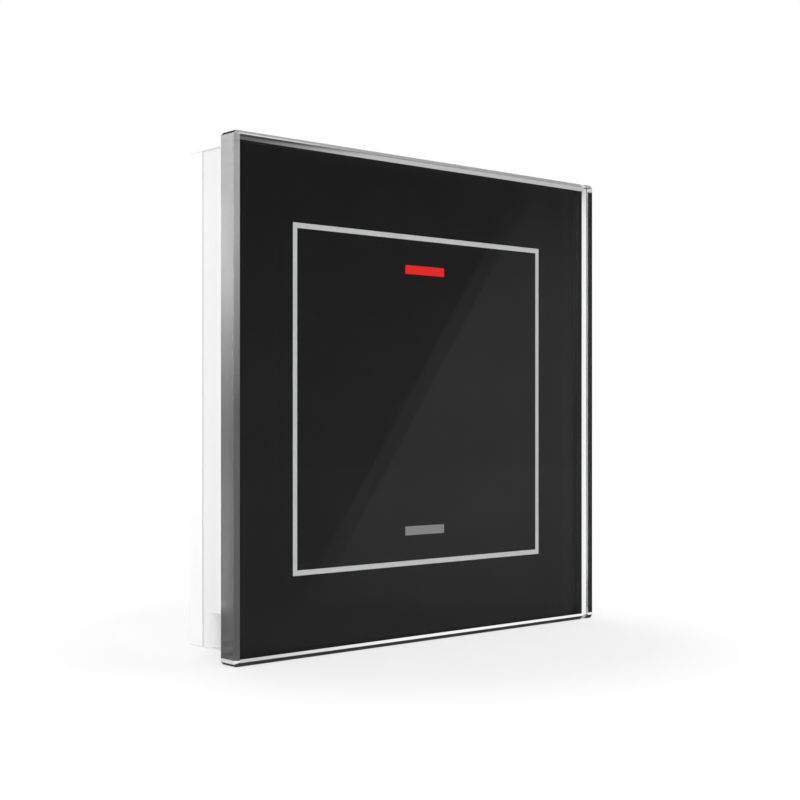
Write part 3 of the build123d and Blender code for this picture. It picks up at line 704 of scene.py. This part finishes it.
wall_places = [(-24, 0), (-12, 35), (12, 35), (-12, -35), (12, -35)]
wall_places += [(-24, 32), (24, 32), (-24, -32), (24, -32)]
pin_marks(
    "wall_ejector_marks", "switch_body", "white_plastic", white_shell,
    wall_places, wall_y, radius=1.6 * MM, rise=-0.04 * MM,
)

# Commissioning button: a small grey key over a push switch on the board, with a clear pipe below it
# that brings the light of its signal LED to the front wall.
moulded("key_grey", (0.20, 0.205, 0.21), "programming_button", gloss=0.38, grain=0.35)
moulded("switch_case", (0.03, 0.03, 0.032), "programming_switch", gloss=0.4)
clear_pipe = moulded(
    "clear_pipe", (0.80, 0.81, 0.81), "programming_light_pipe", gloss=0.12, mottle=0.02, grain=0.05
)
treat(clear_pipe, Transmission_Weight=0.7, IOR=1.49)

# Carrier of the glass front: a black plate with four nickel-plated magnets and two rows of pins,
# bonded to the back of the printed glass with a thin white film.
carrier_black = moulded("carrier_black", (0.028, 0.028, 0.029), "front_carrier", gloss=0.48, grain=0.5)
plated("nickel", (0.74, 0.72, 0.68), "holding_magnets", gloss=0.2, metallic=0.7, stain=0.06, scuff=0.1)
moulded("bond_film", (0.80, 0.80, 0.79), "adhesive_sheet", gloss=0.6, grain=0.2)
carrier_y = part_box("holding_magnets")[1].y
carrier_places = ((-24, 0), (24, 0), (-12, 35), (12, 35), (-12, -35), (12, -35))
pin_marks(
    "carrier_ejector_marks", "glass_front", "carrier_plastic", carrier_black,
    carrier_places, carrier_y, radius=1.6 * MM, rise=0.04 * MM,
)

# Printed film: black, a fine silver square, a red bar that is lit and a grey one that isn't. The
# screen-printed ink is very slightly cloudy.
black_ink, ink_tree = finish_named("black_ink", (0.003, 0.003, 0.003), 0.6)
ink_cloud = noise(place_on(ink_tree), scale=55.0, detail=4.0, Roughness=0.6)
ink_share = ramp(ink_cloud, (0.35, 0.65))
thin_ink, thick_ink = (0.0016, 0.0016, 0.0016, 1), (0.0044, 0.0044, 0.0044, 1)
treat(black_ink, Base_Color=blended(ink_share, thin_ink, thick_ink))
wear(black_ink, "black_print")
print_low, print_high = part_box("black_print")
# at its foot the black reaches a little further down, in a thin strip
foot_height = 0.28 * MM
foot_strip = slab(
    (print_high.x - print_low.x) / 2, foot_height / 2 + 0.01 * MM, 0.02 * MM,
    [(0.0, print_low.y), (0.0, print_high.y)],
)
foot_strip = placed(foot_strip, 0.0, print_low.z - foot_height / 2)
solid_piece("black_print_foot", foot_strip, "glass_front", "black_enamel", black_ink)
plated("silver_ink", (0.70, 0.70, 0.70), "outline_print", gloss=0.55, metallic=0.0, stain=0.05, scuff=0.0)
red_light = moulded("red_light", (0.10, 0.002, 0.002), "light_window_top", gloss=0.5, mottle=0.2, grain=0.0)
treat(red_light, Emission_Color=(0.73, 0.005, 0.005, 1), Emission_Strength=1.0)
moulded("grey_light", (0.30, 0.30, 0.30), "light_window_bottom", gloss=0.5, mottle=0.04, grain=0.0)

# Glass pane: clear float glass, its faces polished and its four sides ground to a satin finish.
# Every arris is cut to a chamfer and left matt. The ground faces' tint is painted lighter and darker
# along their height, a painted light that stands in for the light which runs through the glass and
# leaves them.
pane_half = glass_high.x
pane_front, pane_back = glass_low.y, glass_high.y
front_chamfer = 0.72 * MM
back_chamfer = 0.55 * MM
pane_corner = 0.5 * MM
arris_round = 0.05 * MM
foot_top = -pane_half + 1.15 * MM
# each ring: how far it lies inside the outline, its place through the thickness, and how much of
# that inset the upper and the lower side have, whose back edges are only just broken
broken = 0.25
pane_rings = [
    (front_chamfer + arris_round, pane_front, 1.0),
    (front_chamfer - arris_round, pane_front + arris_round, 1.0),
    (arris_round, pane_front + front_chamfer - arris_round, 1.0),
    (0.0, pane_front + front_chamfer + arris_round, 1.0),
    (0.0, pane_back - back_chamfer - arris_round, 1.0),
    (arris_round, pane_back - back_chamfer + arris_round, broken),
    (back_chamfer - arris_round, pane_back - arris_round, broken),
    (back_chamfer + arris_round, pane_back, broken),
]


def pane_ring(inset, y, share):
    """A ring of the pane, its corners cut straight, with one more point on the left and the right
    where the foot ends. Its upper and lower sides lie share times the inset inside the outline."""
    corner = max(pane_corner - 0.5 * inset, 0.1 * MM)
    half_x = pane_half - inset
    ring = rounded_ring(half_x, pane_half - inset * share, corner, y, steps=2)
    left_foot, right_foot = (-half_x, y, foot_top), (half_x, y, foot_top)
    return np.vstack([ring[:4], left_foot, ring[4:], right_foot])


def glass_face(name, colour, roughness, through=1.0):
    """A finish for one kind of face of the pane, and its node tree."""
    finish, tree = finish_named(name, colour, roughness)
    treat(finish, Transmission_Weight=through, IOR=1.5)
    return finish, tree


def stepped(height, stops):
    """A grey that goes in straight steps up the pane, from pairs of a share of its height, from 0
    at the bottom to 1 at the top, and a tone."""
    share = ramp(height, (-pane_half, pane_half))
    made = add(height.id_data, "ValToRGB", Fac=share)
    steps = made.color_ramp.elements
    for place, tone in stops:
        steps.new(place).color = (tone, tone, tone, 1)
    steps.remove(steps[-1])
    steps.remove(steps[0])
    return made.outputs[0]


# polished faces: a painted shade, a dim line, runs along the front's upper left edge below the arris's
# painted glint, and a fainter painted shade lies just above its foot
polished_glass, polish_tree = glass_face("polished_glass", (0.99, 1.0, 0.995), 0.0)
polish_x, polish_y, polish_z = axes_on(polish_tree)
polish_cloud = noise(place_on(polish_tree), scale=35.0, detail=2.0)
polish_tint_and_shade = blended(polish_cloud, (0.985, 0.996, 0.990, 1), (0.996, 1.0, 0.999, 1))
polish_front = reckon("LESS_THAN", polish_y, pane_front + arris_round)
arris_foot = pane_half - front_chamfer - arris_round
glint_end = (-34 * MM, -18 * MM)
upper_line = (arris_foot - 0.42 * MM, arris_foot - 0.3 * MM)
upper_painted_shade = times(
    ramp(polish_z, upper_line),
    ramp(polish_x, glint_end, (1.0, 0.0)),
    polish_front,
)
polish_tint_and_shade = blended(upper_painted_shade, polish_tint_and_shade, (0.20, 0.20, 0.20, 1))
lower_line, lower_end, lower_most = (foot_top + 0.3 * MM, foot_top + 0.5 * MM), (-42 * MM, -8 * MM), 0.62
lower_painted_shade = times(
    ramp(polish_z, lower_line, (1.0, 0.0)),
    ramp(polish_x, lower_end, (lower_most, 0.0)),
    polish_front,
)
polish_tint_and_shade = blended(lower_painted_shade, polish_tint_and_shade, (0.0, 0.0, 0.0, 1))
treat(polished_glass, Base_Color=polish_tint_and_shade)

# ground sides: the wheel has drawn fine marks through their thickness. Their tint is painted light
# and shade: the left side is painted lighter and darker up its height, and there its front edge is
# painted up to four times as bright as its back edge. The right side has one even tone, and the foot
# of both is painted bright.
ground_side, side_tree = glass_face("ground_side", (0.30, 0.305, 0.30), 0.19)
side_x, side_y, side_z = axes_on(side_tree)
side_light_stops = [
    (0.113, 1.00), (0.126, 0.40), (0.304, 0.32), (0.446, 0.17),
    (0.520, 0.21), (0.587, 0.29), (0.826, 0.29), (0.935, 0.39),
]
# painted light: the left side's front edge is painted brighter than its back edge
front_light_upper = ramp(side_z, (16 * MM, 26 * MM), (4.0, 2.0))
front_light_lower = ramp(side_z, (-35.6 * MM, -34.4 * MM), (1.0, 4.0))
front_edge_light = reckon("MINIMUM", front_light_upper, front_light_lower)
side_through = ramp(side_y, (pane_front, pane_back), (0.5, -0.5))
side_front_light = reckon("POWER", front_edge_light, side_through)
side_light_and_marks = times(stepped(side_z, side_light_stops), side_front_light)
side_left = ramp(side_x, (-1 * MM, 1 * MM), (1.0, 0.0))
right_tone, right_rough = 0.30, 0.8
side_left_light = times(side_left, reckon("SUBTRACT", side_light_and_marks, right_tone))
side_light_and_marks = reckon("ADD", side_left_light, right_tone)
side_drawn = add(side_tree, "VectorMath", {"operation": "MULTIPLY"}, Vector=place_on(side_tree))
side_drawn.inputs[1].default_value = (0.02, 1.0, 0.02)
side_marks = noise(side_drawn.outputs[0], scale=5000.0)
side_light_and_marks = times(side_light_and_marks, swung(side_marks, 0.95, 1.05))
# painted light: the foot of both sides is painted bright
side_foot_light = ramp(side_z, (-pane_half + 0.2 * MM, -pane_half + 0.4 * MM), (1.0, 0.0))
side_light_and_marks = reckon("MAXIMUM", side_light_and_marks, side_foot_light)
side_rough = reckon("MULTIPLY_ADD", side_left, 1.0 - right_rough, right_rough)
treat(
    ground_side,
    Base_Color=shaded((0.985, 1.0, 0.985), side_light_and_marks),
    Roughness=times(swung(side_marks, 0.17, 0.21), side_rough),
)

# front arris: painted light and shade, dark at the foot and lighter towards the top, with a painted
# glint along its front edge at the upper left, and one across it near the right end
matt_arris, arris_tree = glass_face("matt_arris", (0.86, 0.88, 0.87), 0.5, 0.65)
arris_x, arris_y, arris_z = axes_on(arris_tree)
arris_light_stops = [(0.01, 0.04), (0.02, 0.19), (0.48, 0.20), (0.80, 0.72), (0.97, 0.74), (0.99, 0.42)]
glint_edge = (pane_front + 0.22 * MM, pane_front + 0.32 * MM)
painted_glint_along = times(
    ramp(arris_y, glint_edge, (1.0, 0.0)),
    ramp(arris_x, glint_end, (1.0, 0.0)),
    ramp(arris_z, (arris_foot, arris_foot + 0.1 * MM)),
)
across_x, across_half = 42.8 * MM, 0.6 * MM
painted_glint_across = reckon("COMPARE", arris_x, across_x, across_half)
glint = reckon("MAXIMUM", painted_glint_along, painted_glint_across)
arris_painted_light = blended(glint, stepped(arris_z, arris_light_stops), (1.0, 1.0, 1.0, 1))
arris_grit = noise(place_on(arris_tree), scale=2400.0, detail=2.0)
treat(
    matt_arris,
    Base_Color=shaded(arris_painted_light, swung(arris_grit, 0.94, 1.06)),
    Roughness=swung(arris_grit, 0.44, 0.56),
)

# the eased corners, painted dark with a near-black tint, the back arris, which is ground finer to
# the right, and the foot of the left side's arris, which is painted bright
painted_dark_corner = glass_face("painted_dark_corner", (0.05, 0.052, 0.05), 0.12)[0]
back_arris, back_tree = glass_face("back_arris", (0.94, 0.95, 0.945), 0.3)
painted_bright_foot = glass_face("painted_bright_foot", (0.93, 0.94, 0.935), 0.4, 0.35)[0]
back_finer = ramp(axes_on(back_tree)[0], (-pane_half, pane_half), (1.0, 0.5))
ground_faces = ((painted_dark_corner, 0.12, 1.0), (back_arris, 0.3, back_finer), (painted_bright_foot, 0.4, 1.0))
for finish, rough, finer in ground_faces:
    tree = finish.node_tree
    marks = noise(place_on(tree), scale=900.0)
    treat(finish, Roughness=times(swung(marks, 0.8 * rough, 1.2 * rough), finer))

pane = solid_piece(
    "glass_pane",
    skin_over(np.array([pane_ring(*ring) for ring in pane_rings])),
    "glass_front", "clear_glass",
    polished_glass, ground_side, matt_arris, painted_dark_corner, back_arris, painted_bright_foot,
    smooth=False,
)
# each face takes its finish by where it lies and which way it looks, and the numbers are the places
# of the finishes in the list above
pane_faces = pane.data.polygons
centre, normal = np.empty(len(pane_faces) * 3), np.empty(len(pane_faces) * 3)
pane_faces.foreach_get("center", centre)
pane_faces.foreach_get("normal", normal)
sideways, depth, height = centre.reshape(-1, 3).T
facing = np.abs(normal.reshape(-1, 3))
square_on, edge_on, slanted = 0.99, 0.05, 0.3
in_side = np.maximum(facing[:, 0], facing[:, 2]) > square_on
in_corner = ~in_side & (facing[:, 1] < edge_on)
in_arris = (depth < pane_front + front_chamfer) & (depth > pane_front + arris_round * 0.4)
in_back = (depth > pane_back - back_chamfer) & (facing[:, 0] > slanted)
in_foot = (sideways < 0) & (height < foot_top) & ~in_back
in_foot &= (facing[:, 2] < edge_on) & (facing[:, 0] > slanted)
kinds = np.select([in_foot, in_side, in_corner, in_arris, in_back], [5, 1, 3, 2, 4], 0)
pane_faces.foreach_set("material_index", kinds.astype(np.int32))
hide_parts("glass_panel")


# Floor: a pale matt floor under the pane's lower edge. It keeps the shadow near the switch and
# fades to plain white further off.
def stage_piece(name, points, finish, faces=((0, 1, 2, 3),)):
    """A piece of the studio, by default a sheet with four corners."""
    mesh = bpy.data.meshes.new(name)
    mesh.from_pydata(np.asarray(points, dtype=float).tolist(), [], faces)
    mesh.materials.append(finish)
    piece = stand(name, mesh)
    return piece


def mixed(share, *shaders):
    """The first of two shader nodes, giving way to the second as the share goes from 0 to 1."""
    tree = share.id_data
    mix = add(tree, "MixShader", Fac=share)
    for socket, shader in zip(mix.inputs[1:], shaders):
        tree.links.new(shader.outputs[0], socket)
    return mix


floor_half = 3.0
floor_z = glass_low.z
floor_corners = np.array([(-1, -1), (1, -1), (1, 1), (-1, 1)]) * floor_half
floor_paint, floor_tree = finish_named("floor_paint", (0.9, 0.9, 0.9), 0.9)
floor = stage_piece("floor", np.column_stack([floor_corners, np.full(4, floor_z)]), floor_paint)
floor.visible_transmission = False
floor_near, floor_far = 0.50, 1.0
floor_fade = (0.072, 0.105)
floor_white = 1.07
floor_mirrored = 0.14
floor_bounce = 0.35
floor_nodes = floor_tree.nodes
floor_path = add(floor_tree, "LightPath").outputs
floor_distance = add(floor_tree, "VectorMath", {"operation": "LENGTH"}, Vector=place_on(floor_tree))
floor_share = ramp(floor_distance.outputs["Value"], floor_fade, (floor_near, floor_far))
floor_level = times(floor_path["Is Camera Ray"], floor_share)
floor_lift = times(floor_path["Is Diffuse Ray"], floor_bounce)
floor_level = reckon("ADD", floor_level, floor_lift)
floor_glow = add(floor_tree, "Emission", Strength=floor_white)
floor_dim = add(floor_tree, "Emission", Strength=floor_mirrored)
floor_seen = mixed(floor_level, floor_nodes["Principled BSDF"], floor_glow)
floor_seen = mixed(floor_path["Is Glossy Ray"], floor_seen, floor_dim)
feed(floor_tree, floor_nodes["Material Output"], {"Surface": floor_seen.outputs[0]})

# Room: white to the camera and an even light on matt surfaces. Mirrors and glass see a white
# backdrop behind the switch, with the dim studio above and below it.
room_light = 0.62
dim_studio = 0.12
backdrop_half = 0.54
# where its edges begin and end, in degrees above level; the sine of that is the direction's Z
backdrop_edges = np.sin(np.radians([(8.3, 8.9), (10.3, 10.9), (-19, -13)])).tolist()
backdrop_step, backdrop_top, backdrop_foot = backdrop_edges
room = bpy.data.worlds.new("room")
bpy.context.scene.world = room
room.use_nodes = True
room_tree = room.node_tree
room_path = add(room_tree, "LightPath").outputs
room_way = add(room_tree, "TexCoord").outputs["Generated"]
room_height = add(room_tree, "SeparateXYZ", Vector=room_way).outputs["Z"]
above = reckon(
    "SUBTRACT",
    ramp(room_height, backdrop_step, (1.0, backdrop_half)),
    ramp(room_height, backdrop_top, (0.0, backdrop_half - dim_studio)),
)
below = ramp(room_height, backdrop_foot, (dim_studio, 1.0))
backdrop = reckon("MINIMUM", above, below)
from_matt = reckon("GREATER_THAN", room_path["Diffuse Depth"], 0.5)
mirrored = reckon("MAXIMUM", room_path["Is Glossy Ray"], room_path["Is Transmission Ray"])
mirrored = reckon("MAXIMUM", mirrored, room_path["Is Singular Ray"])
mirrored = reckon("SUBTRACT", mirrored, from_matt)
mirrored = reckon("MAXIMUM", mirrored, 0.0)
room_even = times(reckon("SUBTRACT", 1.0, mirrored), room_light)
room_level = reckon("MULTIPLY_ADD", mirrored, backdrop, room_even)
room_strength = reckon("MAXIMUM", room_level, room_path["Is Camera Ray"])
feed(room_tree, room_tree.nodes["Background"], {"Color": (1, 1, 1, 1), "Strength": room_strength})


# Studio flag: a dim dome in front of the switch that only mirrors see, which keeps the pane black.
# It is a little lighter below than above.
def mirror_only(piece, strength, see_through=False):
    """Gives a stage piece a glow that only reflections see, and only before a matt surface."""
    tree = piece.data.materials[0].node_tree
    tree.nodes.remove(tree.nodes["Principled BSDF"])
    clear = add(tree, "BsdfTransparent")
    shown = add(tree, "Emission", Strength=strength)
    if see_through:
        both = add(tree, "AddShader")
        tree.links.new(shown.outputs[0], both.inputs[0])
        tree.links.new(clear.outputs[0], both.inputs[1])
        shown = both
    bounced = reckon("GREATER_THAN", add(tree, "LightPath").outputs["Diffuse Depth"], 0.5)
    seen = mixed(bounced, shown, clear)
    feed(tree, tree.nodes["Material Output"], {"Surface": seen.outputs[0]})
    piece.visible_camera = False
    piece.visible_diffuse = False
    piece.visible_shadow = False


flag_radius = 0.9
flag_half_turn, flag_half_rise = math.radians(89), math.radians(80)
columns, rows = 45, 33
turn, rise = np.meshgrid(
    np.linspace(-flag_half_turn, flag_half_turn, columns),
    np.linspace(-flag_half_rise, flag_half_rise, rows),
)
flag_x = flag_radius * np.sin(turn) * np.cos(rise)
flag_y = glass_low.y - flag_radius * np.cos(turn) * np.cos(rise)
flag_z = flag_radius * np.sin(rise)
flag_points = np.stack([flag_x, flag_y, flag_z], axis=-1).reshape(-1, 3)
first = (np.arange(rows - 1)[:, None] * columns + np.arange(columns - 1)).ravel()
flag_faces = np.column_stack([first, first + 1, first + columns + 1, first + columns])
flag_cloth, flag_tree = finish_named("flag_cloth")
flag = stage_piece("studio_flag", flag_points, flag_cloth, flag_faces.tolist())
flag_height = axes_on(flag_tree)[2]
flag_high = ramp(flag_height, (0.02, 0.2), (0.114, 0.070))
flag_low = ramp(flag_height, (-0.19, -0.14), (0.032, 0.0))
mirror_only(flag, reckon("ADD", flag_high, flag_low))

# Near card: a pale sheet held close to the glass on the right. Its slanted edge is mirrored twice,
# once by the front of the pane and once by its back.
mirror_eye = np.array([camera.location.x, 2 * glass_low.y - camera.location.y, camera.location.z])
edge_high = np.array([0.0109, glass_low.y, 0.0198])
edge_low = np.array([-0.0284, glass_low.y, -0.0359])
card_reach = 0.055
card_width = 0.3
card_way = np.array([math.sin(-camera_turn), -math.cos(camera_turn), 0.0])
card_middle = np.array([0.0, glass_low.y, 0.0]) + card_way * card_reach


def on_card(point):
    """Where the straight line from the mirrored eye through a point of the pane meets the card."""
    ray = point - mirror_eye
    return mirror_eye + ray * ((card_middle - mirror_eye) @ card_way) / (ray @ card_way)


card_high, card_low = on_card(edge_high), on_card(edge_low)
card_side = np.cross(card_way, (0, 0, 1.0))
card_side *= np.sign(card_side[0]) / np.linalg.norm(card_side)
card_slope = card_high - card_low
card_further_up = 1.3
card_top = card_high + card_slope * card_further_up
card_bottom = card_low - card_slope
card_right = card_side * card_width
card_points = [card_bottom, card_bottom + card_right, card_top + card_right, card_top]
card_paper, card_tree = finish_named("card_paper")
card = stage_piece("near_card", card_points, card_paper)
card_edge = add(card_tree, "VectorMath", {"operation": "SUBTRACT"}, Vector=place_on(card_tree))
card_edge.inputs[1].default_value = card_high
card_across = add(card_tree, "VectorMath", {"operation": "DOT_PRODUCT"}, Vector=card_edge.outputs[0])
card_across.inputs[1].default_value = card_side
card_fall = ramp(card_across.outputs["Value"], (0.0, 0.05), (0.113, 0.045))
card_off = reckon("ABSOLUTE", axes_on(card_tree)[2])
card_fade = ramp(card_off, (0.026, 0.050), (1.0, 0.25))
mirror_only(card, times(card_fall, card_fade), see_through=True)

# Window: a bright panel behind on the left, its lower edge just above the middle of the switch.
# The satin side of the pane mirrors it, which shades that side from light above to dark below.
window_strength = 5.7
window_reach = 1.2
window_half_angle = math.radians(15)
window_low = window_reach * math.tan(math.radians(4.6))
window_high = window_reach * math.tan(math.radians(24))
window_points = [
    (-window_reach * math.sin(a - camera_turn), window_reach * math.cos(a - camera_turn), z)
    for a, z in (
        (-window_half_angle, window_low),
        (window_half_angle, window_low),
        (window_half_angle, window_high),
        (-window_half_angle, window_high),
    )
]
window = stage_piece("window_panel", window_points, finish_named("window_glass")[0])
window.visible_transmission = False
mirror_only(window, window_strength)

# Ceiling card: a pale panel up on the right that the upper arris mirrors.
ceiling_strength = 2.4
ceiling_middle = np.array([0.713, 0.182, 0.817])
ceiling_half = np.array([0.5, 0.35, 0.0])
ceiling_points = [
    ceiling_middle + ceiling_half * (x, y, 0) for x, y in ((-1, -1), (1, -1), (1, 1), (-1, 1))
]
ceiling = stage_piece("ceiling_card", ceiling_points, finish_named("ceiling_paper")[0])
ceiling.visible_transmission = False
mirror_only(ceiling, ceiling_strength)

# Lamps: broad soft lamps all round, so that every side is lit at about the same plain level. Each
# has its power, its size, its place, and whether the glass shows it from behind.
lamps = (
    ("front_lamp", 4.8, 0.9, (-0.50, -0.95, 0.55), True),
    ("left_lamp", 0.7, 0.35, (-0.95, -0.45, 0.42), False),
    ("low_lamp", 2.8, 0.30, (-0.85, -0.72, 0.05), False),
    ("top_lamp", 1.5, 0.8, (0.60, -0.20, 1.00), True),
    ("right_lamp", 1.5, 0.7, (1.00, -0.50, 0.30), True),
    ("back_lamp", 4.6, 0.8, (0.35, 1.10, 0.45), False),
)
for name, power, size, (x, y, z), through_glass in lamps:
    lamp_data = bpy.data.lights.new(name, "AREA")
    lamp_data.energy = power
    lamp_data.size = size
    lamp = stand(name, lamp_data)
    lamp.location = (x, y, z)
    lamp.rotation_euler = (math.atan2(math.hypot(x, y), z), 0, math.atan2(-y, -x) - math.pi / 2)
    lamp.visible_camera = False
    lamp.visible_glossy = False
    lamp.visible_transmission = through_glass

# Light has to run through the pane from edge to edge, which takes many turns, and to reach the
# print through it unblurred.
turns = 40
cycles = bpy.context.scene.cycles
cycles.max_bounces = turns
cycles.glossy_bounces = turns
cycles.transmission_bounces = turns
cycles.blur_glossy = 0.0

bpy.context.scene.view_settings.view_transform = "Standard"
